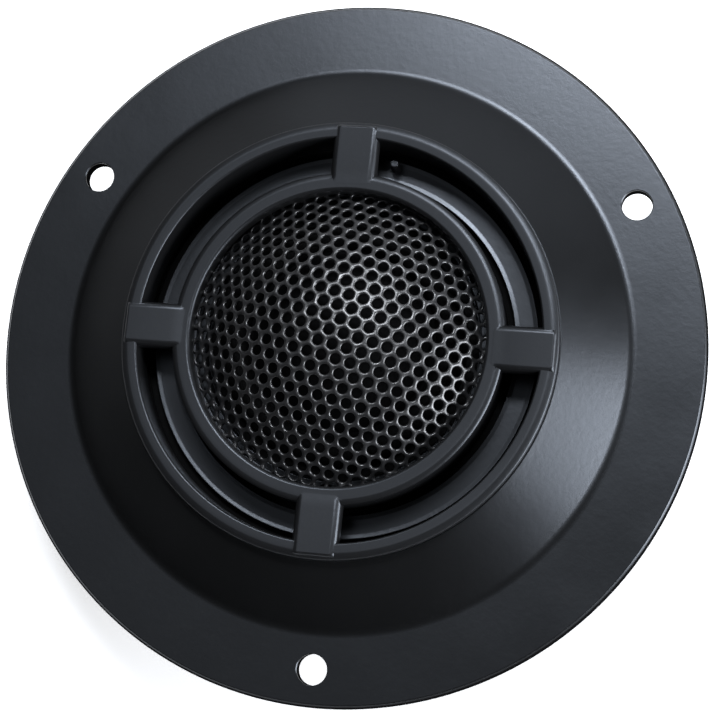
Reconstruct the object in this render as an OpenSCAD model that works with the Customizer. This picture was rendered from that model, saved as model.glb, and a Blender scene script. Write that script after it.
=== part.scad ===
// Car tweeter with a round flange, a conical shoulder and a four-spoke grille over a mesh dome.
// Origin: centre of the flange's rear face. +Z points out of the front, along the sound axis.

/* [Face plate] */
// Outer diameter of the flange
flange_d = 98; // [94:0.5:110]
// Thickness of the flange
flange_t = 2; // [1.8:0.1:2.6]
// Diameter where the conical shoulder meets the flange
cone_base_d = 78; // [77:0.5:80]
// Height of the shoulder's top edge above the flange's rear face
cone_top_z = 7.3; // [7:0.05:8]
// Diameter of the circle through the panel screw holes
screw_circle_d = 88; // [87:0.5:89]
// Diameter of a panel screw hole
screw_hole_d = 4.3; // [3.6:0.1:4.6]

/* [Grille] */
// Outer diameter of the grille rim
rim_d = 59.5; // [58.5:0.1:59.6]
// Width of the rim
rim_w = 2.2; // [1.8:0.1:2.3]
// Height of the rim and inner ring above the flange's rear face
rim_top_z = 9; // [8.9:0.05:9.6]
// Outer diameter of the inner ring
ring_d = 45.2; // [44.8:0.1:45.6]
// Inner diameter of the inner ring
ring_bore_d = 40.2; // [39.8:0.1:40.6]
// Width of a spoke at its foot
spoke_w = 6.2; // [5:0.1:8]
// Height by which a spoke stands proud of the rings
spoke_proud = 0.15; // [0.1:0.05:0.3]
// Rise of the mesh dome above its brim
mesh_rise = 7.1; // [6:0.1:7.5]

/* [Motor] */
// Outer diameter of the ferrite magnet
magnet_d = 56; // [54:0.5:56]
// Thickness of the magnet
magnet_t = 8; // [7:0.5:12]
// Thickness of the steel top plate and of the yoke's back plate
plate_t = 4; // [4:0.1:5]

/* [Diaphragm] */
// Outer diameter of the coil former
former_d = 25.6; // [25.5:0.02:25.7]
// Rise of the dome above its rim
dome_rise = 5; // [4:0.1:5.5]

/* [Hidden] */
$fn = 128;

cut = 0.1;                            // how far a cutter runs past the face it opens
side_angles = [0, 90, 180, 270];      // the four spokes
panel_hole_angles = [30, 150, 270];   // the panel screws, one in line with the lower spoke
chassis_screw_angles = [90, 210, 330];
motor_screw_angles = [30, 150, 270];

// Face plate
flange_r = flange_d / 2;
cone_base_r = cone_base_d / 2;
cone_top_r = rim_d / 2 + 0.75;        // outer edge of the shoulder's thin top land
rebate_r = rim_d / 2 + 0.35;          // pocket that the grille frame drops into
shelf_r = rim_d / 2 - 2;              // opening of the shelf under the grille rim
shelf_z = 4;                          // seat of the grille rim
shelf_under_z = 2.6;                  // seat of the driver chassis
cavity_r = 37.2;                      // hollow behind the shoulder
cavity_step_r = 34.4;
cavity_cone_z = 0.9;                  // where the hollow starts to follow the shoulder
flange_edge = 0.5;                    // rounding of the flange's front edge
gasket_in_r = 37.9;
gasket_out_r = 41.3;
gasket_t = 0.6;

// Grille
rim_r = rim_d / 2;
rim_in_r = rim_r - rim_w;
ring_r = ring_d / 2;
ring_bore_r = ring_bore_d / 2;
rim_edge = 0.8;                       // chamfer of the rim's outer edge and the ring's inner edge
slot_edge = 0.35;                     // chamfer of the edges along the slots
spoke_t = 2;
spoke_edge = 0.5;                     // chamfer along the spoke's long edges
skirt_in_r = ring_r - 0.6;            // thin wall under the inner ring
collar_z = 4.6;                       // front face of the chassis collar, under the skirt
mesh_seat_z = 6.9;                    // underside of the inner ring, where the brim is clamped
mesh_t = 0.5;
mesh_brim_r = skirt_in_r - 0.1;
mesh_foot_r = 19.6;                   // where the brim turns up into the dome
peg_r = 0.7;
peg_circle_r = rim_r - rim_w / 2;
peg_l = 1.2;

// Driver chassis
chassis_r = 33.4;
chassis_back_z = 0.8;
chassis_flange_z = 2.2;
land_z = 2.8;                         // raised ring, the floor seen through the slots
land_in_r = 23.5;
land_out_r = 26.6;
land_edge = 0.25;
groove_z = 1.7;                       // bottom of the groove on either side of the land
groove_out_r = 27.8;
collar_r = ring_r - 0.1;
well_r = 19;                          // well that the surround ring sits in
post_r = 0.6;                         // locating post on the land
post_circle_r = 25.7;
post_angle = 79;
post_top_z = 5.3;
ledge_r = 17.4;
ledge_z = 2.4;
chassis_bore_r = 15;
chassis_screw_circle_r = 31.6;
motor_screw_circle_r = 20.75;
screw_head_r = 1.3;
motor_head_seat_z = 2.6;
chassis_screw_r = 0.95;
motor_screw_r = 1.0;
lead_channel_w = 1.2;
lead_channel_z = 1.4;                 // roof of the channel, open at the back
chassis_gasket_in_r = 28;
chassis_gasket_out_r = 29.7;

// Motor
top_plate_r = magnet_d / 2 - 1;
magnet_r = magnet_d / 2;
magnet_bore_r = 15;
gap_outer_r = 13.35;                  // bore of the top plate
pole_r = 12.3;
plate_back_z = chassis_back_z - plate_t;
magnet_back_z = plate_back_z - magnet_t;
yoke_back_z = magnet_back_z - plate_t;
pole_top_z = 1;

// Diaphragm
former_r = former_d / 2;
former_wall = 0.15;
former_top_z = 3.8;
former_bottom_z = plate_back_z + 0.3;
coil_t = 0.25;
coil_l = 2.8;
coil_mid_z = plate_back_z + plate_t / 2;
dome_rim_r = former_r + 0.15;
dome_t = 0.4;
roll_in_r = dome_rim_r + 0.05;
roll_out_r = 17.2;
surround_z = 3.2;                     // where the surround lies on its ring
surround_lift = former_top_z - surround_z;
surround_t = 0.3;

// Terminals
tab_x = -31;
tab_pitch = 7;
board_t = 1.6;
board_size = [4.4, 13.6];
rivet_r = 0.8;
rivet_head_r = 1.3;
rivet_head_t = 0.35;
lead_r = 0.25;
lead_z = 1.1;
tab_thickness = 0.8;
tab_tip_z = -9;

// Points of an arc about [cx, cz], from angle a0 to a1 in n steps.
function arc(cx, cz, r, a0, a1, n) =
    [for (i = [0:n]) let (a = a0 + (a1 - a0) * i / n) [cx + r * cos(a), cz + r * sin(a)]];

// Radius of the sphere whose cap has this foot radius and this rise.
function cap_radius(foot_r, rise) = (foot_r * foot_r + rise * rise) / (2 * rise);

module tube(out_r, in_r, z0, z1) {
    translate([0, 0, z0])
        difference() {
            cylinder(r = out_r, h = z1 - z0);
            translate([0, 0, -cut]) cylinder(r = in_r, h = z1 - z0 + 2 * cut);
        }
}

// Round bar, or a hole when subtracted, from z0 up to z1 at each of the given angles.
module bars(circle_r, angles, r, z0, z1) {
    for (a = angles)
        rotate(a) translate([circle_r, 0, z0]) cylinder(r = r, h = z1 - z0, $fn = 48);
}

module face_plate_profile() {
    polygon([
        [cavity_r, 0], [flange_r - 0.2, 0], [flange_r, 0.2], [flange_r, flange_t - flange_edge],
        [flange_r - flange_edge, flange_t], [cone_base_r, flange_t], [cone_top_r, cone_top_z],
        [rebate_r, cone_top_z], [rebate_r, shelf_z], [shelf_r, shelf_z],
        [shelf_r, shelf_under_z], [cavity_step_r, shelf_under_z], [cavity_r, cavity_cone_z]
    ]);
}

module face_plate() {
    color([0.11, 0.11, 0.12])
        difference() {
            rotate_extrude() face_plate_profile();
            tube(gasket_out_r + 0.1, gasket_in_r - 0.1, -cut, gasket_t);
            bars(screw_circle_d / 2, panel_hole_angles, screw_hole_d / 2, -cut, flange_t + cut);
            bars(peg_circle_r, side_angles, peg_r, shelf_under_z - cut, shelf_z + cut);
            bars(chassis_screw_circle_r, chassis_screw_angles, chassis_screw_r,
                shelf_under_z - cut, shelf_under_z + 2.2);
            translate([tab_x - 2.2, -6, shelf_under_z - cut]) cube([4.4, 12, 0.8 + cut]);
        }
}

module flange_gasket() {
    color([0.16, 0.16, 0.16]) tube(gasket_out_r, gasket_in_r, 0, gasket_t);
}

// A ring with a chamfer along each front edge.
module edged_ring(out_r, in_r, z0, z1, out_edge, in_edge) {
    rotate_extrude()
        polygon([[in_r, z0], [out_r, z0], [out_r, z1 - out_edge], [out_r - out_edge, z1],
            [in_r + in_edge, z1], [in_r, z1 - in_edge]]);
}

// One spoke along +X: flat on top, both long edges chamfered.
module spoke() {
    top_z = rim_top_z + spoke_proud;
    inner_x = ring_r - 1.7;
    outer_x = rim_r - 0.4;
    translate([inner_x, 0, 0])
        rotate([90, 0, 90])
            linear_extrude(outer_x - inner_x)
                polygon([[-spoke_w / 2, rim_top_z - spoke_t], [spoke_w / 2, rim_top_z - spoke_t],
                    [spoke_w / 2, top_z - spoke_edge], [spoke_w / 2 - spoke_edge, top_z],
                    [spoke_edge - spoke_w / 2, top_z], [-spoke_w / 2, top_z - spoke_edge]]);
}

module grille_frame() {
    color([0.12, 0.12, 0.13])
        union() {
            edged_ring(rim_r, rim_in_r, shelf_z, rim_top_z, rim_edge, slot_edge);
            edged_ring(ring_r, ring_bore_r, mesh_seat_z, rim_top_z, slot_edge, rim_edge);
            tube(ring_r, skirt_in_r, collar_z, mesh_seat_z + cut);
            bars(peg_circle_r, side_angles, peg_r, shelf_z - peg_l, shelf_z + cut);
            intersection() {
                for (a = side_angles) rotate(a) spoke();
                cylinder(r = rim_r, h = 2 * rim_top_z);
            }
        }
}

// Thin dome with a flat brim. The dome is a cap of a sphere.
module grille_mesh() {
    sphere_r = cap_radius(mesh_foot_r, mesh_rise);
    centre_z = mesh_seat_z - mesh_t + mesh_rise - sphere_r;
    edge_angle = asin((sphere_r - mesh_rise) / sphere_r);
    outer_edge_angle = asin((mesh_seat_z - centre_z) / (sphere_r + mesh_t));
    steps = 20;
    color([0.08, 0.08, 0.08])
        rotate_extrude()
            polygon(concat(
                arc(0, centre_z, sphere_r, 90, edge_angle, steps),
                [[mesh_brim_r, mesh_seat_z - mesh_t], [mesh_brim_r, mesh_seat_z]],
                arc(0, centre_z, sphere_r + mesh_t, outer_edge_angle, 90, steps)));
}

module mesh_retainer() {
    color([0.1, 0.1, 0.1]) tube(skirt_in_r, 19.9, 5, mesh_seat_z - mesh_t);
}

module chassis_body() {
    rotate_extrude()
        polygon([
            [chassis_bore_r, chassis_back_z], [chassis_r, chassis_back_z],
            [chassis_r, chassis_flange_z], [groove_out_r, chassis_flange_z],
            [groove_out_r, groove_z], [land_out_r, groove_z],
            [land_out_r, land_z - land_edge], [land_out_r - land_edge, land_z],
            [land_in_r + land_edge, land_z], [land_in_r, land_z - land_edge],
            [land_in_r, groove_z], [collar_r, groove_z], [collar_r, collar_z],
            [well_r, collar_z], [well_r, ledge_z], [chassis_bore_r, ledge_z]
        ]);
    bars(post_circle_r, [post_angle], post_r, land_z - cut, post_top_z);
}

module chassis_plate() {
    color([0.1, 0.1, 0.11])
        difference() {
            chassis_body();
            bars(chassis_screw_circle_r, chassis_screw_angles, chassis_screw_r + 0.15,
                chassis_back_z - cut, chassis_flange_z + cut);
            bars(motor_screw_circle_r, motor_screw_angles, motor_screw_r + 0.1,
                chassis_back_z - cut, collar_z);
            bars(motor_screw_circle_r, motor_screw_angles, screw_head_r + 0.1,
                motor_head_seat_z, collar_z + cut);
            for (side = [-1, 1]) {
                translate([tab_x, side * tab_pitch / 2 - lead_channel_w / 2, chassis_back_z - cut])
                    cube([17, lead_channel_w, lead_channel_z - chassis_back_z + cut]);
                translate([tab_x, side * tab_pitch / 2, chassis_back_z - cut])
                    cylinder(r = rivet_r, h = chassis_flange_z - chassis_back_z + 2 * cut, $fn = 48);
            }
        }
}

module chassis_gasket() {
    color([0.18, 0.18, 0.18])
        tube(chassis_gasket_out_r, chassis_gasket_in_r, chassis_flange_z, shelf_under_z);
}

module surround_ring() {
    color([0.14, 0.14, 0.15]) tube(well_r - 0.1, ledge_r, ledge_z, surround_z);
}

// Points of the roll's arc, raised by this much. The edge at the dome lies higher than the other.
function roll(raise, a0, a1) =
    let (mid_r = (roll_in_r + roll_out_r) / 2, half = (roll_out_r - roll_in_r) / 2)
    [for (p = arc(mid_r, surround_z + raise, half, a0, a1, 12))
        [p[0], p[1] + surround_lift * (roll_out_r - p[0]) / (2 * half)]];

// Half-roll between the dome's rim and the ring. Both of its faces are the same arc, one raised.
module surround() {
    lip_r = well_r - 0.3;
    color([0.07, 0.07, 0.07])
        rotate_extrude()
            polygon(concat(
                roll(0, 180, 0),
                [[lip_r, surround_z], [lip_r, surround_z + surround_t]],
                roll(surround_t, 0, 180)));
}

module dome() {
    sphere_r = cap_radius(dome_rim_r - 0.5, dome_rise);
    foot_z = former_top_z + dome_t;
    centre_z = foot_z + dome_rise - sphere_r;
    color([0.09, 0.09, 0.1])
        rotate_extrude()
            polygon(concat(
                [[0, centre_z + sphere_r - dome_t]],
                arc(0, centre_z, sphere_r - dome_t, 90,
                    asin((former_top_z - centre_z) / (sphere_r - dome_t)), 14),
                [[dome_rim_r, former_top_z], [dome_rim_r, foot_z]],
                arc(0, centre_z, sphere_r, asin((foot_z - centre_z) / sphere_r), 90, 14)));
}

module coil_former() {
    color([0.75, 0.6, 0.35])
        tube(former_r, former_r - former_wall, former_bottom_z, former_top_z);
}

module voice_coil() {
    color([0.72, 0.4, 0.2])
        tube(former_r + coil_t, former_r, coil_mid_z - coil_l / 2, coil_mid_z + coil_l / 2);
}

// Straight lead from beside the coil former out to a rivet. side is 1 or -1.
module lead(side) {
    translate([-12.6, side * tab_pitch / 2, lead_z])
        rotate([0, -90, 0])
            cylinder(r = lead_r, h = -tab_x - rivet_r - 0.05 - 12.6, $fn = 24);
}

module lead_positive() {
    color([0.75, 0.5, 0.3]) lead(1);
}

module lead_negative() {
    color([0.75, 0.5, 0.3]) lead(-1);
}

module pole_pad() {
    color([0.45, 0.45, 0.42]) tube(8, 1.5, pole_top_z, pole_top_z + 1);
}

module top_plate() {
    color([0.62, 0.63, 0.64])
        difference() {
            edged_ring(top_plate_r, gap_outer_r, plate_back_z, chassis_back_z, 0.3, 0.3);
            bars(motor_screw_circle_r, motor_screw_angles, motor_screw_r,
                plate_back_z + 1, chassis_back_z + cut);
        }
}

module magnet() {
    edge = 0.5;
    color([0.2, 0.2, 0.21])
        rotate_extrude()
            polygon([
                [magnet_bore_r, magnet_back_z], [magnet_r - edge, magnet_back_z],
                [magnet_r, magnet_back_z + edge], [magnet_r, plate_back_z - edge],
                [magnet_r - edge, plate_back_z], [magnet_bore_r, plate_back_z]
            ]);
}

module yoke() {
    edge = 0.8;
    vent_r = 1.5;
    color([0.62, 0.63, 0.64])
        rotate_extrude()
            polygon([
                [vent_r, yoke_back_z + 0.5], [vent_r + 0.5, yoke_back_z],
                [top_plate_r - edge, yoke_back_z], [top_plate_r, yoke_back_z + edge],
                [top_plate_r, magnet_back_z], [pole_r, magnet_back_z],
                [pole_r, pole_top_z - 0.4], [pole_r - 0.4, pole_top_z], [vent_r, pole_top_z]
            ]);
}

module terminal_board() {
    color([0.45, 0.3, 0.16])
        difference() {
            translate([tab_x - board_size[0] / 2, -board_size[1] / 2, chassis_back_z - board_t])
                cube([board_size[0], board_size[1], board_t]);
            for (side = [-1, 1])
                translate([tab_x, side * tab_pitch / 2, chassis_back_z - board_t - cut])
                    cylinder(r = rivet_r, h = board_t + 2 * cut, $fn = 48);
        }
}

// Bent tab: a foot under the rivet and a blade that points backwards.
module terminal(side, blade_w) {
    foot_z = chassis_back_z - board_t;
    blade_x = tab_x - board_size[0] / 2 + 0.1;
    tip = 0.8;
    translate([0, side * tab_pitch / 2, 0])
        difference() {
            union() {
                translate([blade_x, -blade_w / 2, foot_z - tab_thickness])
                    cube([board_size[0] - 0.4, blade_w, tab_thickness]);
                translate([blade_x + tab_thickness, 0, 0])
                    rotate([0, -90, 0])
                        linear_extrude(tab_thickness)
                            polygon([[foot_z - cut, -blade_w / 2], [foot_z - cut, blade_w / 2],
                                [tab_tip_z + tip, blade_w / 2], [tab_tip_z, blade_w / 2 - tip],
                                [tab_tip_z, tip - blade_w / 2], [tab_tip_z + tip, -blade_w / 2]]);
            }
            translate([tab_x, 0, foot_z - tab_thickness - cut])
                cylinder(r = rivet_r, h = tab_thickness + 2 * cut, $fn = 48);
            translate([blade_x - cut, 0, tab_tip_z + 2.4])
                rotate([0, 90, 0]) cylinder(r = 0.6, h = tab_thickness + 2 * cut, $fn = 32);
        }
}

module terminal_positive() {
    color([0.85, 0.78, 0.5]) terminal(1, 4.8);
}

module terminal_negative() {
    color([0.85, 0.78, 0.5]) terminal(-1, 2.8);
}

module terminal_rivets() {
    back_z = chassis_back_z - board_t - tab_thickness;
    color([0.8, 0.74, 0.5])
        for (side = [-1, 1])
            translate([tab_x, side * tab_pitch / 2, 0]) {
                translate([0, 0, back_z - rivet_head_t])
                    cylinder(r = rivet_r, h = chassis_flange_z - back_z + 2 * rivet_head_t, $fn = 48);
                translate([0, 0, back_z - rivet_head_t])
                    cylinder(r = rivet_head_r, h = rivet_head_t, $fn = 48);
                translate([0, 0, chassis_flange_z])
                    cylinder(r = rivet_head_r, h = rivet_head_t, $fn = 48);
            }
}

// Pan-head screw with a cross recess. It stands on z = 0 with its shank down.
module pan_screw(shank_r, shank_l, head_r, head_t) {
    difference() {
        union() {
            rotate_extrude()
                polygon([[0, 0], [head_r, 0], [head_r, head_t - 0.4], [head_r - 0.4, head_t],
                    [0, head_t]]);
            translate([0, 0, -shank_l]) cylinder(r = shank_r, h = shank_l + cut, $fn = 48);
        }
        for (a = [0, 90])
            rotate(a) translate([-head_r * 0.6, -0.2, head_t - 0.6]) cube([head_r * 1.2, 0.4, 1]);
    }
}

module chassis_screws() {
    color([0.3, 0.3, 0.32])
        for (a = chassis_screw_angles)
            rotate(a) translate([chassis_screw_circle_r, 0, chassis_back_z])
                mirror([0, 0, 1]) pan_screw(chassis_screw_r, 3.8, 1.7, 1.2);
}

module motor_screws() {
    color([0.3, 0.3, 0.32])
        for (a = motor_screw_angles)
            rotate(a) translate([motor_screw_circle_r, 0, motor_head_seat_z])
                pan_screw(motor_screw_r, 4.4, screw_head_r, 1.5);
}

face_plate();
flange_gasket();
grille_frame();
grille_mesh();
mesh_retainer();
chassis_plate();
chassis_gasket();
surround_ring();
surround();
dome();
coil_former();
voice_coil();
lead_positive();
lead_negative();
pole_pad();
top_plate();
magnet();
yoke();
terminal_board();
terminal_positive();
terminal_negative();
terminal_rivets();
chassis_screws();
motor_screws();
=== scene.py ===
"""The looks of the car tweeter: its pieces, materials, light and camera.

The pieces' lengths are millimetres, and MM turns them into Blender's metres. They are in the
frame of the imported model: the origin is the centre of the flange's rear face and +Z points out
of the front. A name that ends in _r is a radius, one that ends in _w a width, and one that ends
in _z or _top a height.
"""

import math

import bmesh
import bpy
from mathutils import Matrix, Vector


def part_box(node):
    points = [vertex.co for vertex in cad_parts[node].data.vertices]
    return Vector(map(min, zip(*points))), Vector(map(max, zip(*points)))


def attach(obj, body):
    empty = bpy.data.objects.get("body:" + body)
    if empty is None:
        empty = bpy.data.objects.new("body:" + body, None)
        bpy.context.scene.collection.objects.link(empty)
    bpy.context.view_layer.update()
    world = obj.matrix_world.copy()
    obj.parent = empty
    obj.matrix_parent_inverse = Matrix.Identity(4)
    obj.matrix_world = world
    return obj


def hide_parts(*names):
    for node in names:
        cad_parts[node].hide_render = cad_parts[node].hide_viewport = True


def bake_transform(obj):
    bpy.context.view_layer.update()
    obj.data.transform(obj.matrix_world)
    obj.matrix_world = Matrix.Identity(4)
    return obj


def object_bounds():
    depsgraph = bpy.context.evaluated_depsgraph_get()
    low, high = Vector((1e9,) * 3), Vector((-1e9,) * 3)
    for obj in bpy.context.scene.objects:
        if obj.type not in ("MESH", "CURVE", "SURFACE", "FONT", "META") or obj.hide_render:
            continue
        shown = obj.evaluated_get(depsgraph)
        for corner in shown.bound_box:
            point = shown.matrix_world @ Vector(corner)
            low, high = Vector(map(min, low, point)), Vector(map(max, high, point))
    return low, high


MM = 0.001
SHARP_ANGLE = 35
HOUSING = "housing"
DIAPHRAGM = "diaphragm"

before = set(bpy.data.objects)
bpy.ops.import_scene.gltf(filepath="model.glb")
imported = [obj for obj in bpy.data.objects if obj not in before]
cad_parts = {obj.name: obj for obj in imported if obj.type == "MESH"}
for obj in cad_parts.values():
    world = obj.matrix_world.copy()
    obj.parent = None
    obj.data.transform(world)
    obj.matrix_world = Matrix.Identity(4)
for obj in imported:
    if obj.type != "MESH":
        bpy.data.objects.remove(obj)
cad_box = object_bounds()


# ---------------------------------------------------------------- sizes
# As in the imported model, but SCREW_HOLE_R and CONE_TOP_R are a little smaller than there.

def size_of(node):
    """Lowest height, highest height and outer radius of a round CAD node, in mm."""
    low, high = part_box(node)
    return low.z / MM, high.z / MM, max(high.x, high.y) / MM


FLANGE_TOP = 2.0
CONE_BASE_R = 39.0
SCREW_CIRCLE_R = 44.0
SCREW_HOLE_R = 2.08
SCREW_ANGLES = (30, 150, 270)
GASKET_W = 3.4
RIM_SEAT = 4.0
RIM_W = 2.2
RING_R = 22.6
RING_BORE_R = 20.1
SPOKE_ANGLES = (0, 90, 180, 270)
SPOKE_W = 6.2
SPOKE_DEPTH = 2.0
SPOKE_PROUD = 0.15
MESH_FOOT_R = 19.6
MESH_T = 0.5
COLLAR_Z = 4.6
LAND_Z = 2.8
MOTOR_SCREW_ANGLES = (30, 150, 270)

_, CONE_TOP, FLANGE_R = size_of("face_plate")
_, SPOKE_TOP, RIM_R = size_of("grille_frame")
BRIM_LOW, MESH_APEX, BRIM_R = size_of("grille_mesh")
CONE_TOP_R = RIM_R + 0.15
RIM_TOP = SPOKE_TOP - SPOKE_PROUD
MESH_SEAT = BRIM_LOW + MESH_T


# ---------------------------------------------------------------- mesh helpers

def shade(obj, angle=SHARP_ANGLE):
    """Smooth shading, except over edges sharper than the angle in degrees."""
    obj.data.shade_smooth()
    obj.data.set_sharp_from_angle(angle=math.radians(angle))


def add_object(name, mesh, angle=SHARP_ANGLE):
    """Links a mesh as a new, smoothly shaded object."""
    obj = bpy.data.objects.new(name, mesh)
    bpy.context.scene.collection.objects.link(obj)
    shade(obj, angle)
    return obj


def from_bmesh(name, bm, angle=SHARP_ANGLE):
    bmesh.ops.recalc_face_normals(bm, faces=bm.faces)
    mesh = bpy.data.meshes.new(name)
    bm.to_mesh(mesh)
    bm.free()
    return add_object(name, mesh, angle)


def arc(centre_r, centre_z, radius, start, end, steps):
    """Points of an arc in the (radius, height) plane, angles in degrees."""
    angles = [math.radians(start + (end - start) * i / steps) for i in range(steps + 1)]
    return [(centre_r + radius * math.cos(a), centre_z + radius * math.sin(a)) for a in angles]


def rounded_corner(before, here, after, fillet, steps):
    """Points that round the corner at here, between its two neighbours.

    A support point close to each end keeps the flat faces beside the arc flat in the shading.
    """
    support = 0.08
    longest_part = 0.45
    back, ahead = before - here, after - here
    room = longest_part * min(back.length, ahead.length)
    back.normalize()
    ahead.normalize()
    half = math.acos(max(-1, min(1, back.dot(ahead)))) / 2
    reach = min(fillet / math.tan(half), room)
    radius = reach * math.tan(half)
    centre = here + (back + ahead).normalized() * (radius / math.sin(half))
    first = here + back * reach - centre
    turn = first.angle_signed(here + ahead * reach - centre)
    points = [tuple(here + back * (reach + support))]
    for k in range(steps + 1):
        a = -turn * k / steps
        turned = Vector((first.x * math.cos(a) - first.y * math.sin(a),
                         first.x * math.sin(a) + first.y * math.cos(a)))
        points.append(tuple(centre + turned))
    return points + [tuple(here + ahead * (reach + support))]


def rounded(corners, steps=5):
    """A closed outline from (r, z) or (r, z, fillet) corners. Each fillet becomes an arc."""
    places = [Vector(corner[:2]) for corner in corners]
    outline = []
    for i, corner in enumerate(corners):
        if len(corner) == 2:
            outline.append(tuple(places[i]))
        else:
            after = places[(i + 1) % len(places)]
            outline += rounded_corner(places[i - 1], places[i], after, corner[2], steps)
    return outline


def lathe(name, outline, steps=256):
    """Turns a closed outline of (radius, height) points about +Z."""
    bm = bmesh.new()
    turns = [2 * math.pi * k / steps for k in range(steps)]
    rings = []
    for r, z in outline:
        if r == 0:
            rings.append([bm.verts.new((0, 0, z * MM))] * steps)
        else:
            rings.append([bm.verts.new((r * MM * math.cos(t), r * MM * math.sin(t), z * MM))
                          for t in turns])
    for i, ring in enumerate(rings):
        other = rings[(i + 1) % len(rings)]
        for k in range(steps):
            m = (k + 1) % steps
            corners = list(dict.fromkeys((ring[k], ring[m], other[m], other[k])))
            if len(corners) > 2:
                bm.faces.new(corners)
    return from_bmesh(name, bm)


def lofted(name, stations):
    """A closed bar through outlines of (y, z) points, each at its own x."""
    bm = bmesh.new()
    loops = [[bm.verts.new((x * MM, y * MM, z * MM)) for y, z in outline]
             for x, outline in stations]
    for here, there in zip(loops, loops[1:]):
        for i in range(len(here)):
            j = (i + 1) % len(here)
            bm.faces.new((here[i], here[j], there[j], there[i]))
    bm.faces.new(loops[0])
    bm.faces.new(loops[-1])
    return from_bmesh(name, bm)


def bake(obj):
    """Replaces the object's mesh with what its modifiers make of it."""
    seen = obj.evaluated_get(bpy.context.evaluated_depsgraph_get())
    mesh = bpy.data.meshes.new_from_object(seen)
    obj.modifiers.clear()
    obj.data = mesh


def combine(obj, others, operation):
    """Adds the other solids to obj (UNION) or cuts them away (DIFFERENCE), and removes them."""
    for other in others:
        step = obj.modifiers.new("combine", "BOOLEAN")
        step.solver = "EXACT"
        step.operation = operation
        step.object = other
    bake(obj)
    for other in others:
        bpy.data.objects.remove(other)
    shade(obj)


def moved(obj, x=0, turn=0):
    """Moves a new piece's mesh along +X, then turns it about +Z by degrees."""
    obj.data.transform(Matrix.Rotation(math.radians(turn), 4, "Z")
                       @ Matrix.Translation((x * MM, 0, 0)))
    return obj


def softened(node, name, width):
    """A copy of a CAD node with a small bevel of this width on its sharp edges."""
    flat_angle = math.radians(1)
    bevelled_angle = math.radians(30)
    bm = bmesh.new()
    bm.from_mesh(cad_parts[node].data)
    bmesh.ops.remove_doubles(bm, verts=bm.verts, dist=0.001 * MM)
    bmesh.ops.dissolve_limit(bm, angle_limit=flat_angle, verts=bm.verts, edges=bm.edges)
    obj = from_bmesh(name, bm)
    bevel = obj.modifiers.new("edges", "BEVEL")
    bevel.width = width * MM
    bevel.segments = 2
    bevel.limit_method = "ANGLE"
    bevel.angle_limit = bevelled_angle
    bake(obj)
    shade(obj, 40)
    return obj


def place(obj, body, material, slot, *nodes):
    """Gives a piece its material and body, and hides the CAD nodes that it stands for.

    A piece that bends between two bodies has None for its body. The slot is not used.
    """
    obj.data.materials.clear()
    obj.data.materials.append(material)
    if body:
        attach(obj, body)
    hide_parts(*nodes)


# ---------------------------------------------------------------- material helpers

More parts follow.
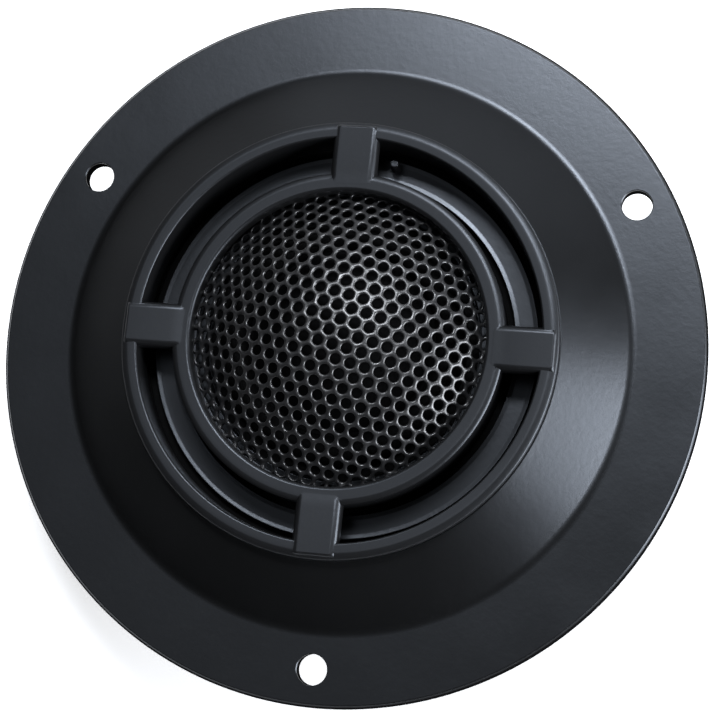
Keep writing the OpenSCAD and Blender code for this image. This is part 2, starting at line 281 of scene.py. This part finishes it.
class Finish:
    """A Principled material and the nodes that feed it. Its patterns are fixed to the object."""

    def __init__(self, name, color, roughness, metallic=0.0, **fixed):
        self.material = bpy.data.materials.new(name)
        self.material.use_nodes = True
        self.tree = self.material.node_tree
        self.shader = self.tree.nodes["Principled BSDF"]
        self.color = color
        self.roughness = roughness
        self.set("Base Color", (*color, 1))
        self.set("Roughness", roughness)
        self.set("Metallic", metallic)
        for key, value in fixed.items():
            self.set(key.replace("_", " "), value)
        texture = self.tree.nodes.new("ShaderNodeTexCoord")
        self.place = texture.outputs["Object"]
        self.normal = texture.outputs["Normal"]
        self.height = None

    def set(self, socket, value):
        self.shader.inputs[socket].default_value = value

    def link(self, source, target):
        self.tree.links.new(source, target)

    def node(self, kind, settings=None, **sockets):
        made = self.tree.nodes.new("ShaderNode" + kind)
        for key, value in (settings or {}).items():
            setattr(made, key, value)
        for key, value in sockets.items():
            socket = made.inputs[key.replace("_", " ")]
            if isinstance(value, bpy.types.NodeSocket):
                self.link(value, socket)
            else:
                socket.default_value = value
        return made

    def stretched(self, scale):
        """Coordinates in which a pattern is squeezed by these factors along X, Y and Z."""
        return self.node("Mapping", Vector=self.place, Scale=scale).outputs["Vector"]

    def noise(self, size_mm, detail, rough=0.5, at=None):
        """Noise whose blobs are about this many mm across."""
        return self.node("TexNoise", Vector=at or self.place, Scale=1 / (size_mm * MM),
                         Detail=detail, Roughness=rough).outputs["Fac"]

    def cells(self, size_mm):
        """Distance to the nearest of many points about this many mm apart."""
        return self.node("TexVoronoi", {"feature": "F1"}, Vector=self.place,
                         Scale=1 / (size_mm * MM)).outputs["Distance"]

    def waves(self, size_mm, direction):
        """Straight waves this many mm apart along X, Y or Z."""
        metres_apart_at_scale_1 = 0.314
        return self.node("TexWave", {"bands_direction": direction}, Vector=self.place,
                         Scale=metres_apart_at_scale_1 / (size_mm * MM)).outputs["Fac"]

    def combined(self, operation, first, second):
        both = self.node("Math", {"operation": operation})
        self.link(first, both.inputs[0])
        self.link(second, both.inputs[1])
        return both.outputs[0]

    def between(self, source, low, high, out_low=0.0, out_high=1.0):
        """The source's range from low to high, spread over another range and held at its ends."""
        made = self.node("MapRange", Value=source, From_Min=low, From_Max=high,
                         To_Min=out_low, To_Max=out_high)
        return made.outputs["Result"]

    def within(self, low_mm, high_mm):
        """1 between two heights, 0 beyond them, with soft ends."""
        soft_mm = 0.2
        height = self.node("SeparateXYZ", Vector=self.place).outputs["Z"]
        rise = self.between(height, (low_mm - soft_mm) * MM, low_mm * MM)
        fall = self.between(height, high_mm * MM, (high_mm + soft_mm) * MM, 1, 0)
        return self.combined("MULTIPLY", rise, fall)

    def paint_shade_band(self, low_mm, high_mm):
        """Takes the gloss away between two heights: painted shade."""
        full_gloss = 0.5
        gloss = self.between(self.within(low_mm, high_mm), 0, 1, full_gloss, 0)
        self.link(gloss, self.shader.inputs["Specular IOR Level"])

    def polish_edges(self, roughness):
        """Gives all but the faces that look straight forward this roughness."""
        tilted, level = 0.98, 0.995
        facing = self.node("SeparateXYZ", Vector=self.normal).outputs["Z"]
        out = self.between(facing, tilted, level, roughness, self.roughness)
        self.link(out, self.shader.inputs["Roughness"])

    def vary_color(self, source, other):
        """Blends the base colour towards another as the source goes from 0 to 1."""
        mix = self.tree.nodes.new("ShaderNodeMix")
        mix.data_type = "RGBA"
        self.link(source, mix.inputs[0])
        mix.inputs[6].default_value = (*self.color, 1)
        mix.inputs[7].default_value = (*other, 1)
        self.link(mix.outputs[2], self.shader.inputs["Base Color"])

    def vary_roughness(self, source, spread):
        """Lets the roughness go up and down by this much as the source goes from 0.3 to 0.7."""
        out = self.between(source, 0.3, 0.7, self.roughness - spread, self.roughness + spread)
        self.link(out, self.shader.inputs["Roughness"])

    def bump(self, source, depth_mm, strength):
        """Raises the surface by the source. Later calls add to earlier ones."""
        made = self.node("Bump", Height=source, Distance=depth_mm * MM, Strength=strength)
        if self.height:
            self.link(self.height, made.inputs["Normal"])
        self.height = made.outputs["Normal"]
        self.link(self.height, self.shader.inputs["Normal"])


def moulded_plastic(name, color, roughness, grain_mm, grain_depth, shade_band=None, edges=None):
    """Black moulded plastic: fine spark-eroded grain, a soft waviness and a little dust.

    Between the two given heights it has no gloss: painted shade. The edges can have their own
    roughness.
    """
    # The bluish specular tint is painted light: it stands in for the cool colour of the lights in the
    # highlights.
    finish = Finish(name, color, roughness, Specular_Tint=(0.91, 0.98, 1.08, 1))
    dust = finish.between(finish.noise(0.9, 6, 0.7), 0.55, 0.8)
    finish.vary_color(dust, tuple(c * 1.4 + 0.001 for c in color))
    finish.bump(finish.noise(0.8, 2), grain_depth * 2, 0.8)
    finish.bump(finish.noise(grain_mm, 3, 0.6), grain_depth, 0.6)
    # No gloss in that band of heights: painted shade.
    if shade_band:
        finish.paint_shade_band(*shade_band)
    if edges:
        finish.polish_edges(edges)
    else:
        finish.vary_roughness(finish.noise(9, 3), 0.02)
    return finish.material


def painted_mesh():
    """Black paint on steel, a little uneven and lumpy around the holes."""
    finish = Finish("mesh_paint", (0.010, 0.010, 0.0105), 0.35, Specular_IOR_Level=0.85)
    finish.vary_roughness(finish.noise(1.5, 3), 0.08)
    finish.vary_color(finish.between(finish.noise(0.5, 4), 0.5, 0.8), (0.02, 0.02, 0.021))
    finish.bump(finish.noise(1.1, 2), 0.05, 0.9)
    finish.bump(finish.noise(0.35, 3), 0.02, 0.8)
    return finish.material


def foam():
    finish = Finish("gasket_foam", (0.018, 0.018, 0.019), 0.9)
    finish.vary_color(finish.between(finish.cells(0.35), 0.1, 0.6), (0.05, 0.05, 0.052))
    finish.bump(finish.cells(0.35), 0.12, 0.8)
    return finish.material


def plated_steel():
    """Zinc-plated turned steel: bright, with faint turning rings and passivation clouds."""
    finish = Finish("plated_steel", (0.34, 0.335, 0.32), 0.34, metallic=1.0)
    finish.vary_color(finish.between(finish.noise(7, 4, 0.6), 0.35, 0.7), (0.27, 0.275, 0.27))
    finish.vary_roughness(finish.noise(2.5, 4), 0.07)
    turned = {"wave_type": "RINGS", "rings_direction": "Z"}
    rings = finish.node("TexWave", turned, Vector=finish.place, Scale=900, Distortion=0.6)
    finish.bump(rings.outputs["Fac"], 0.004, 0.5)
    finish.bump(finish.noise(0.6, 3), 0.006, 0.4)
    return finish.material


def ferrite():
    finish = Finish("ferrite", (0.035, 0.035, 0.038), 0.55)
    finish.vary_color(finish.between(finish.noise(0.4, 6, 0.7), 0.45, 0.75), (0.075, 0.075, 0.08))
    finish.vary_roughness(finish.noise(4, 4), 0.1)
    finish.bump(finish.noise(0.35, 5, 0.7), 0.03, 0.6)
    finish.bump(finish.noise(1.2, 3, at=finish.stretched((1, 1, 14))), 0.012, 0.5)
    return finish.material


def phenolic():
    finish = Finish("board_laminate", (0.20, 0.095, 0.035), 0.45)
    weave = finish.noise(0.5, 5, at=finish.stretched((1, 6, 1)))
    finish.vary_color(finish.between(weave, 0.4, 0.7), (0.32, 0.17, 0.07))
    finish.bump(finish.noise(0.2, 3), 0.01, 0.5)
    return finish.material


def metal(name, color, roughness):
    """Drawn or stamped metal with fine streaks."""
    finish = Finish(name, color, roughness, metallic=1.0)
    streaks = finish.noise(0.6, 4, at=finish.stretched((1, 1, 12)))
    finish.vary_roughness(streaks, 0.08)
    finish.vary_color(finish.between(finish.noise(1.2, 4), 0.4, 0.8),
                      tuple(c * 0.82 for c in color))
    finish.bump(streaks, 0.004, 0.4)
    return finish.material


def screw_black():
    finish = Finish("screw_black", (0.035, 0.035, 0.038), 0.36, metallic=0.6)
    finish.vary_color(finish.between(finish.noise(0.5, 4), 0.5, 0.75), (0.09, 0.088, 0.085))
    finish.vary_roughness(finish.noise(0.8, 4), 0.1)
    finish.bump(finish.noise(0.3, 3), 0.01, 0.5)
    return finish.material


def cloth(name, color, thread_mm, sheen):
    """Woven cloth: two crossed sets of threads."""
    finish = Finish(name, color, 0.7, Sheen_Weight=sheen, Sheen_Roughness=0.4,
                    Specular_IOR_Level=0.05)
    weave = finish.combined("MAXIMUM", finish.waves(thread_mm, "X"), finish.waves(thread_mm, "Y"))
    finish.vary_color(weave, tuple(c * 2.2 for c in color))
    finish.bump(weave, 0.05, 0.7)
    return finish.material


def felt():
    finish = Finish("pad_felt", (0.30, 0.29, 0.26), 0.95, Sheen_Weight=0.4)
    fibres = finish.noise(0.3, 8, 0.8, at=finish.stretched((1, 2.5, 1)))
    finish.vary_color(finish.between(fibres, 0.35, 0.7), (0.45, 0.44, 0.40))
    finish.bump(fibres, 0.2, 0.9)
    return finish.material


def wound_wire():
    finish = Finish("coil_wire", (0.50, 0.17, 0.06), 0.3, metallic=0.9)
    turns = finish.waves(0.12, "Z")
    finish.vary_color(turns, (0.62, 0.26, 0.10))
    finish.bump(turns, 0.05, 0.9)
    return finish.material


def former_film():
    finish = Finish("former_film", (0.42, 0.22, 0.05), 0.35)
    finish.vary_color(finish.between(finish.noise(2, 3), 0.4, 0.7), (0.5, 0.3, 0.09))
    finish.bump(finish.noise(0.8, 3), 0.01, 0.4)
    return finish.material


def paper_floor():
    """White paper. It glows a little, so that it stays white where the part's shadow is."""
    finish = Finish("floor_white", (0.9, 0.9, 0.9), 0.75, Emission_Color=(1, 1, 1, 1),
                    Emission_Strength=0.6)
    finish.vary_color(finish.between(finish.noise(60, 3), 0.3, 0.7), (0.93, 0.93, 0.93))
    finish.bump(finish.noise(0.8, 3), 0.02, 0.3)
    return finish.material


# The walls of the screw holes and of the outer edge, 0.2 to 1.7 mm up, have no gloss: painted shade.
FLANGE_PLASTIC = moulded_plastic("flange_plastic", (0.0042, 0.0042, 0.0042), 0.31, 0.45, 0.006,
                                 shade_band=(0.2, 1.7))
GRILLE_PLASTIC = moulded_plastic("grille_plastic", (0.0070, 0.0070, 0.0072), 0.76, 0.35, 0.010,
                                 edges=0.37)
# The grooves, 1.5 to 2.4 mm up, have no gloss: painted shade.
CHASSIS_PLASTIC = moulded_plastic("chassis_plastic", (0.0044, 0.0044, 0.0045), 0.31, 0.5, 0.007,
                                  shade_band=(1.5, 2.4))
INNER_PLASTIC = moulded_plastic("inner_plastic", (0.0090, 0.0090, 0.0092), 0.5, 0.4, 0.012)
MESH_PAINT = painted_mesh()
FOAM = foam()
STEEL = plated_steel()
FERRITE = ferrite()
PHENOLIC = phenolic()
TIN = metal("tinned_brass", (0.72, 0.66, 0.46), 0.3)
BRAID = metal("lead_braid", (0.62, 0.36, 0.18), 0.4)
SCREW_BLACK = screw_black()
DOME_SILK = cloth("dome_cloth", (0.0012, 0.0012, 0.0013), 0.16, 0.004)
SURROUND_CLOTH = cloth("surround_cloth", (0.0016, 0.0016, 0.0016), 0.2, 0.004)
FELT = felt()
COIL_WIRE = wound_wire()
FORMER_FILM = former_film()


# ---------------------------------------------------------------- face plate and grille

def hole_cutter(angle):
    """The shape that cuts one panel screw hole, with a small chamfer at both ends."""
    chamfer = 0.1
    past = 1
    wide_r = SCREW_HOLE_R + chamfer + past
    outline = [(0, -past), (wide_r, -past), (SCREW_HOLE_R, chamfer),
               (SCREW_HOLE_R, FLANGE_TOP - chamfer), (wide_r, FLANGE_TOP + past),
               (0, FLANGE_TOP + past)]
    return moved(lathe("hole_cutter", outline, 48), x=SCREW_CIRCLE_R, turn=angle)


def make_face_plate():
    """Flange, shoulder and the shelf behind it, one moulding."""
    rebate_r = RIM_R + 0.03
    shelf_r = RIM_R - 2.0
    shelf_under_z = 2.6
    shelf_under_r = 34.4
    cavity_r = 37.2
    cavity_side_z = 0.9
    edge = 0.5
    _, gasket_top, gasket_r = size_of("flange_gasket")
    play = 0.1
    channel_r = gasket_r + play
    channel_in_r = gasket_r - GASKET_W - play
    outline = rounded([
        (cavity_r, 0, 0.15), (channel_in_r, 0), (channel_in_r, gasket_top),
        (channel_r, gasket_top), (channel_r, 0), (FLANGE_R, 0, 0.25),
        (FLANGE_R, FLANGE_TOP - edge, 0.1), (FLANGE_R - edge, FLANGE_TOP, 0.15),
        (CONE_BASE_R, FLANGE_TOP, 2.4), (CONE_TOP_R, CONE_TOP, 0.03), (rebate_r, CONE_TOP),
        (rebate_r, RIM_SEAT), (shelf_r, RIM_SEAT, 0.2), (shelf_r, shelf_under_z, 0.2),
        (shelf_under_r, shelf_under_z, 0.3), (cavity_r, cavity_side_z, 0.4),
    ])
    plate = lathe("flange_moulding", outline)
    combine(plate, [hole_cutter(a) for a in SCREW_ANGLES], "DIFFERENCE")
    place(plate, HOUSING, FLANGE_PLASTIC, "flange_plastic", "face_plate")


def spoke(angle):
    """One spoke with well rounded long edges. It dips into the ring and rolls over the rim."""
    inner_x = RING_R - 1.7
    outer_x = RIM_R - 0.4
    dip = SPOKE_PROUD + 0.1
    dip_length = 0.9
    roll = 0.5
    half = SPOKE_W / 2
    low = RIM_TOP - SPOKE_DEPTH

    def section(drop):
        top = SPOKE_TOP - drop
        return rounded([(-half, low, 0.2), (half, low, 0.2), (half, top, 1.1), (-half, top, 1.1)])

    stations = [(inner_x, section(dip)), (inner_x + dip_length, section(0))]
    for a in [math.radians(step) for step in range(0, 91, 15)]:
        stations.append((outer_x - roll + roll * math.sin(a), section(roll * (1 - math.cos(a)))))
    return moved(lofted("spoke", stations), turn=angle)


def crowned(out_r, top, width, radius):
    """Outline points of an outer top edge that falls away over a width before its corner."""
    corner_z = top - 0.36
    crown_part = 0.78
    fall = math.degrees(math.asin(width * crown_part / radius))
    crown = arc(out_r - width, top - radius, radius, 90 - fall, 90, 6)
    return [(out_r, corner_z, 0.25)] + crown


def make_grille_frame():
    """Rim, inner ring with its skirt, and four spokes, one moulding."""
    rim_in_r = RIM_R - RIM_W
    rim_corners = [(rim_in_r, RIM_SEAT, 0.1), (RIM_R, RIM_SEAT, 0.1)]
    rim_corners += crowned(RIM_R, RIM_TOP, 1.5, 3.4)
    rim_corners += [(rim_in_r, RIM_TOP, 0.4)]
    rim = lathe("grille_frame_moulding", rounded(rim_corners, steps=8))
    skirt_in_r = RING_R - 0.6
    ring_corners = [(skirt_in_r, COLLAR_Z), (RING_R, COLLAR_Z)]
    ring_corners += crowned(RING_R, RIM_TOP, 1.2, 2.6)
    ring_corners += [(RING_BORE_R, RIM_TOP, 0.9), (RING_BORE_R, MESH_SEAT, 0.15),
                     (skirt_in_r, MESH_SEAT)]
    ring = lathe("inner_ring", rounded(ring_corners, steps=8))
    combine(rim, [spoke(a) for a in SPOKE_ANGLES] + [ring], "UNION")
    place(rim, HOUSING, GRILLE_PLASTIC, "grille_plastic", "grille_frame")


class PressedSheet:
    """A flat sheet of joined faces, laid on the mesh's dome and its flat brim."""

    def __init__(self):
        rise = MESH_APEX - MESH_SEAT
        flatter = 0.02
        outer_r = (MESH_FOOT_R ** 2 + rise ** 2) / (2 * rise) + flatter
        self.sphere_r = outer_r - MESH_T / 2
        self.centre_z = MESH_APEX - outer_r
        self.foot_arc = self.sphere_r * math.asin(MESH_FOOT_R / self.sphere_r)
        self.flat_r = self.foot_arc + BRIM_R - MESH_FOOT_R
        self.bm = bmesh.new()
        self.made = {}

    def pressed(self, flat):
        """Where a point of the flat sheet, given as a complex number, lies after pressing."""
        along = abs(flat)
        a = min(along, self.foot_arc) / self.sphere_r
        r = self.sphere_r * math.sin(a) + max(0, along - self.foot_arc)
        z = self.centre_z + self.sphere_r * math.cos(a)
        return Vector((flat.real / along * r, flat.imag / along * r, z)) * MM

    def vertex(self, flat):
        """The vertex at a point of the flat sheet. Neighbouring faces share it."""
        key = (round(flat.real, 3), round(flat.imag, 3))
        if key not in self.made:
            self.made[key] = self.bm.verts.new(self.pressed(flat))
        return self.made[key]

    def add_cell(self, centre, pitch, hole_r, turn):
        """One hexagon of the sheet, with its round hole in the middle."""
        sides = 12
        corner_r = pitch / math.sqrt(3)
        outer, inner = [], []
        for k in range(sides):
            a = turn + math.radians(360 / sides * (k + 1))
            ray = complex(math.cos(a), math.sin(a))
            edge = corner_r if k % 2 == 0 else pitch / 2
            outer.append(self.vertex(centre + ray * edge))
            inner.append(self.vertex(centre + ray * hole_r))
        for k in range(sides):
            m = (k + 1) % sides
            self.bm.faces.new((outer[k], outer[m], inner[m], inner[k]))


def make_mesh():
    """Domed steel mesh: a staggered grid of round holes, with rounded webs between them."""
    pitch = 2.0
    hole_r = 0.73
    row_turn = math.radians(-12.3)
    sheet = PressedSheet()
    last_hole_r = sheet.flat_r - pitch * 0.58
    reach = 2 * (int(last_hole_r / pitch) + 3)
    for i in range(-reach, reach + 1):
        for j in range(-reach, reach + 1):
            flat = complex(pitch * (i + j / 2), pitch * j * math.sqrt(3) / 2)
            centre = flat * complex(math.cos(row_turn), math.sin(row_turn))
            if abs(centre) <= last_hole_r:
                sheet.add_cell(centre, pitch, hole_r, row_turn)
    mesh = from_bmesh("mesh_dome", sheet.bm, 180)
    thick = mesh.modifiers.new("thickness", "SOLIDIFY")
    thick.thickness = MESH_T * MM
    thick.offset = 0
    smooth = mesh.modifiers.new("rounded", "SUBSURF")
    smooth.levels = 1
    smooth.render_levels = 1
    bake(mesh)
    shade(mesh, 180)
    place(mesh, HOUSING, MESH_PAINT, "mesh_steel", "grille_mesh")


# ---------------------------------------------------------------- driver behind the grille

def locating_post():
    """The small round post that stands on the chassis plate's land."""
    foot_z = LAND_Z - 0.4
    top_z = 5.3
    foot_r, top_r = 0.75, 0.6
    circle_r, angle = 25.7, 79
    outline = rounded([(0, foot_z), (foot_r, foot_z), (top_r, top_z, 0.2), (0, top_z)])
    return moved(lathe("locating_post", outline, 32), x=circle_r, turn=angle)


def screw_well(angle):
    """The shape that sinks one motor screw's well into the chassis plate's collar."""
    floor_z = 2.6
    top_z = COLLAR_Z + 1
    well_r = 1.4
    circle_r = 20.75
    outline = [(0, floor_z), (well_r, floor_z), (well_r, top_z), (0, top_z)]
    return moved(lathe("screw_well", outline, 32), x=circle_r, turn=angle)


def make_chassis():
    """The driver's moulded plate. A raised land between two grooves shows through the slots."""
    back, _, out_r = size_of("chassis_plate")
    flange_z = 2.2
    groove_z = 1.7
    groove_out_r = 27.8
    land_out_r, land_in_r = 26.6, 23.5
    lip, lip_w = 0.11, 0.6
    collar_r = RING_R - 0.1
    well_r = 19.0
    ledge_z = 2.4
    bore_r = 15.0
    plate = lathe("chassis_moulding", rounded([
        (bore_r, back, 0.1), (out_r, back, 0.25), (out_r, flange_z, 0.25),
        (groove_out_r, flange_z, 0.1), (groove_out_r, groove_z, 0.1), (land_out_r, groove_z, 0.1),
        (land_out_r, LAND_Z + lip, 0.08), (land_out_r - lip_w, LAND_Z, 0.9),
        (land_in_r + lip_w, LAND_Z, 0.9), (land_in_r, LAND_Z + lip, 0.08), (land_in_r, groove_z, 0.1),
        (collar_r, groove_z, 0.1), (collar_r, COLLAR_Z), (well_r, COLLAR_Z, 0.15),
        (well_r, ledge_z), (bore_r, ledge_z, 0.1)]))
    combine(plate, [locating_post()], "UNION")
    combine(plate, [screw_well(a) for a in MOTOR_SCREW_ANGLES], "DIFFERENCE")
    place(plate, HOUSING, CHASSIS_PLASTIC, "chassis_plastic", "chassis_plate")


def make_ring(node, name, in_r, fillet, material, slot, body=HOUSING):
    """A plain ring with four rounded edges, in the place of its CAD node."""
    low, high, out_r = size_of(node)
    outline = rounded([(in_r, low, fillet), (out_r, low, fillet), (out_r, high, fillet),
                       (in_r, high, fillet)])
    place(lathe(name, outline), body, material, slot, node)


def make_motor():
    """Yoke with its pole, magnet, top plate and the pad on the pole."""
    low, high, out_r = size_of("yoke")
    back_top = low + 4
    pole_r = 12.3
    vent_r = 1.5
    magnet_in_r = 15.0
    gap_out_r = 13.35
    yoke = lathe("pole_yoke", rounded([
        (vent_r, low, 0.5), (out_r, low, 0.8), (out_r, back_top, 0.1), (pole_r, back_top),
        (pole_r, high, 0.4), (vent_r, high, 0.2)]))
    place(yoke, HOUSING, STEEL, "plated_steel", "yoke")
    make_ring("magnet", "ferrite_ring", magnet_in_r, 0.5, FERRITE, "ferrite")
    make_ring("top_plate", "front_plate", gap_out_r, 0.3, STEEL, "plated_steel")
    make_ring("pole_pad", "felt_pad", vent_r, 0.2, FELT, "pad_felt")


def make_dome():
    """The thin dome with its short cylindrical lip."""
    low, high, out_r = size_of("dome")
    skin = 0.35
    lip_top = low + 0.4
    rise = high - lip_top
    foot_r = out_r - 0.5
    sphere_r = (foot_r ** 2 + rise ** 2) / (2 * rise)
    centre_z = high - sphere_r
    edge = math.degrees(math.asin((lip_top - centre_z) / sphere_r))
    under = math.degrees(math.asin((low - centre_z) / (sphere_r - skin)))
    outline = [(0, high - skin)] + arc(0, centre_z, sphere_r - skin, 90, under, 24)[1:]
    outline += [(out_r, low), (out_r, lip_top)]
    outline += arc(0, centre_z, sphere_r, edge, 90, 24)[:-1] + [(0, high)]
    place(lathe("silk_dome", outline, 192), DIAPHRAGM, DOME_SILK, "dome_cloth", "dome")


def make_diaphragm():
    """Dome, former and coil on the moving body, and the surround that joins them to the ring."""
    former_in_r = 12.65
    coil_in_r = 12.8
    make_dome()
    make_ring("coil_former", "former_tube", former_in_r, 0.03, FORMER_FILM, "former_film",
              DIAPHRAGM)
    make_ring("voice_coil", "coil_winding", coil_in_r, 0.05, COIL_WIRE, "coil_wire", DIAPHRAGM)
    make_surround()


def make_surround():
    """Half-roll, its inner edge as high as the dome's rim, its lip flat on the ring."""
    dome_z, _, dome_r = size_of("dome")
    lip_z, _, _ = size_of("surround")
    in_r = dome_r + 0.05
    roll_out_r = 17.2
    lip_r = 18.7
    skin = 0.3
    middle, half = (in_r + roll_out_r) / 2, (roll_out_r - in_r) / 2
    lift = dome_z - lip_z

    def roll(raised, start, end):
        points = arc(middle, lip_z + raised, half, start, end, 20)
        return [(r, z + lift * (roll_out_r - r) / (2 * half)) for r, z in points]

    outline = roll(0, 180, 0) + [(lip_r, lip_z), (lip_r, lip_z + skin)] + roll(skin, 0, 180)
    surround = lathe("surround_roll", outline, 192)
    place(surround, None, SURROUND_CLOTH, "surround_cloth", "surround")
    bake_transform(surround)


def wire_along(name, points, radius):
    """A round wire through points, with closed ends."""
    curve = bpy.data.curves.new(name, "CURVE")
    curve.dimensions = "3D"
    curve.bevel_depth = radius * MM
    curve.bevel_resolution = 3
    curve.use_fill_caps = True
    spline = curve.splines.new("NURBS")
    spline.points.add(len(points) - 1)
    for slot, point in zip(spline.points, points):
        slot.co = (*(Vector(point) * MM), 1)
    spline.use_endpoint_u = True
    spline.order_u = 4
    wire = bpy.data.objects.new(name, curve)
    bpy.context.scene.collection.objects.link(wire)
    mesh = bpy.data.meshes.new_from_object(
        wire.evaluated_get(bpy.context.evaluated_depsgraph_get()))
    bpy.data.objects.remove(wire)
    return add_object(name, mesh)


def make_leads():
    """Two tinsel leads, each with a little slack between the coil and the rivet."""
    parts = 12
    slack, wave = 0.12, 1.9
    wire_r = 0.22
    for node in ("lead_positive", "lead_negative"):
        low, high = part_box(node)
        y, z = (low.y + high.y) / 2 / MM, (low.z + high.z) / 2 / MM
        start, end = high.x / MM, low.x / MM
        points = [(start + (end - start) * k / parts, y + slack * math.sin(k * wave), z)
                  for k in range(parts + 1)]
        lead = wire_along(node.replace("lead", "tinsel"), points, wire_r)
        place(lead, HOUSING, BRAID, "lead_braid", node)


def make_fittings():
    """Small parts: copies of their CAD shapes with softened edges."""
    for node, name, width, material, slot in (
            ("terminal_board", "terminal_strip", 0.12, PHENOLIC, "board_laminate"),
            ("terminal_positive", "tab_positive", 0.1, TIN, "tinned_brass"),
            ("terminal_negative", "tab_negative", 0.1, TIN, "tinned_brass"),
            ("terminal_rivets", "tab_rivets", 0.1, TIN, "tinned_brass"),
            ("chassis_screws", "screws_chassis", 0.08, SCREW_BLACK, "black_screws"),
            ("motor_screws", "screws_motor", 0.08, SCREW_BLACK, "black_screws")):
        place(softened(node, name, width), HOUSING, material, slot, node)


def make_seals():
    """Both foam gaskets and both clamping rings: node, name, inner radius, fillet and look."""
    _, _, gasket_r = size_of("flange_gasket")
    for node, name, in_r, fillet, material, slot in (
            ("flange_gasket", "flange_seal", gasket_r - GASKET_W, 0.1, FOAM, "gasket_foam"),
            ("chassis_gasket", "chassis_seal", 28.0, 0.06, FOAM, "gasket_foam"),
            ("mesh_retainer", "mesh_clamp", 19.9, 0.1, INNER_PLASTIC, "inner_plastic"),
            ("surround_ring", "surround_seat", 17.4, 0.08, INNER_PLASTIC, "inner_plastic")):
        make_ring(node, name, in_r, fillet, material, slot)


make_face_plate()
make_grille_frame()
make_mesh()
make_chassis()
make_motor()
make_diaphragm()
make_leads()
make_fittings()
make_seals()


# ---------------------------------------------------------------- floor, light and camera

def direction(azimuth, elevation):
    """Unit vector; azimuth counts from +X towards +Y."""
    a, e = math.radians(azimuth), math.radians(elevation)
    return Vector((math.cos(a) * math.cos(e), math.sin(a) * math.cos(e), math.sin(e)))


def make_floor():
    """A white disc, metres wide, under the part's lowest point."""
    floor_r = 5.0
    bm = bmesh.new()
    bmesh.ops.create_circle(bm, cap_ends=True, radius=floor_r, segments=96)
    bmesh.ops.translate(bm, verts=bm.verts, vec=(0, 0, cad_box[0].z))
    floor = from_bmesh("floor", bm)
    floor.data.materials.append(paper_floor())


def make_light(name, azimuth, elevation, width, height, radiance):
    """A rectangular soft light that faces the tweeter. Its sides are metres."""
    distance = 0.9
    lamp = bpy.data.lights.new(name, "AREA")
    lamp.shape = "RECTANGLE"
    lamp.size = width
    lamp.size_y = height
    lamp.energy = radiance * math.pi * width * height
    lamp.color = (0.94, 0.98, 1.05)
    obj = bpy.data.objects.new(name, lamp)
    bpy.context.scene.collection.objects.link(obj)
    towards = direction(azimuth, elevation)
    obj.location = towards * distance
    obj.rotation_mode = "QUATERNION"
    obj.rotation_quaternion = towards.to_track_quat("Z", "Y")


def make_world():
    """A nearly dark room, so that the lights shape the part."""
    world = bpy.data.worlds.new("studio")
    world.use_nodes = True
    background = world.node_tree.nodes["Background"].inputs
    background["Color"].default_value = (1, 1, 1, 1)
    background["Strength"].default_value = 0.02
    bpy.context.scene.world = world


def make_camera():
    """Looks down at the front, a little from the lower right, and turned a few degrees."""
    target = Vector((2.88, -2.33, 5.0)) * MM
    azimuth, tilt, roll = -41.0, 14.3, math.radians(5.8)
    distance = 0.243
    towards = direction(azimuth, 90 - tilt)
    right = (-towards).cross(Vector((-math.sin(roll), math.cos(roll), 0))).normalized()
    up = towards.cross(right)
    data = bpy.data.cameras.new("camera")
    data.lens = 90
    data.sensor_width = 36
    data.clip_start = 0.01
    camera = bpy.data.objects.new("camera", data)
    bpy.context.scene.collection.objects.link(camera)
    camera.matrix_world = (Matrix.Translation(target + towards * distance)
                           @ Matrix((right, up, towards)).transposed().to_4x4())
    bpy.context.scene.camera = camera


make_floor()
make_light("key", azimuth=79, elevation=61, width=0.44, height=0.15, radiance=38.5)
make_light("side", azimuth=349, elevation=17, width=0.58, height=0.48, radiance=17.5)
make_light("fill", azimuth=80, elevation=18, width=1.3, height=0.5, radiance=0.4)
make_light("top", azimuth=160, elevation=72, width=0.5, height=0.5, radiance=0.3)
make_world()
make_camera()
bpy.context.scene.view_settings.view_transform = "Standard"
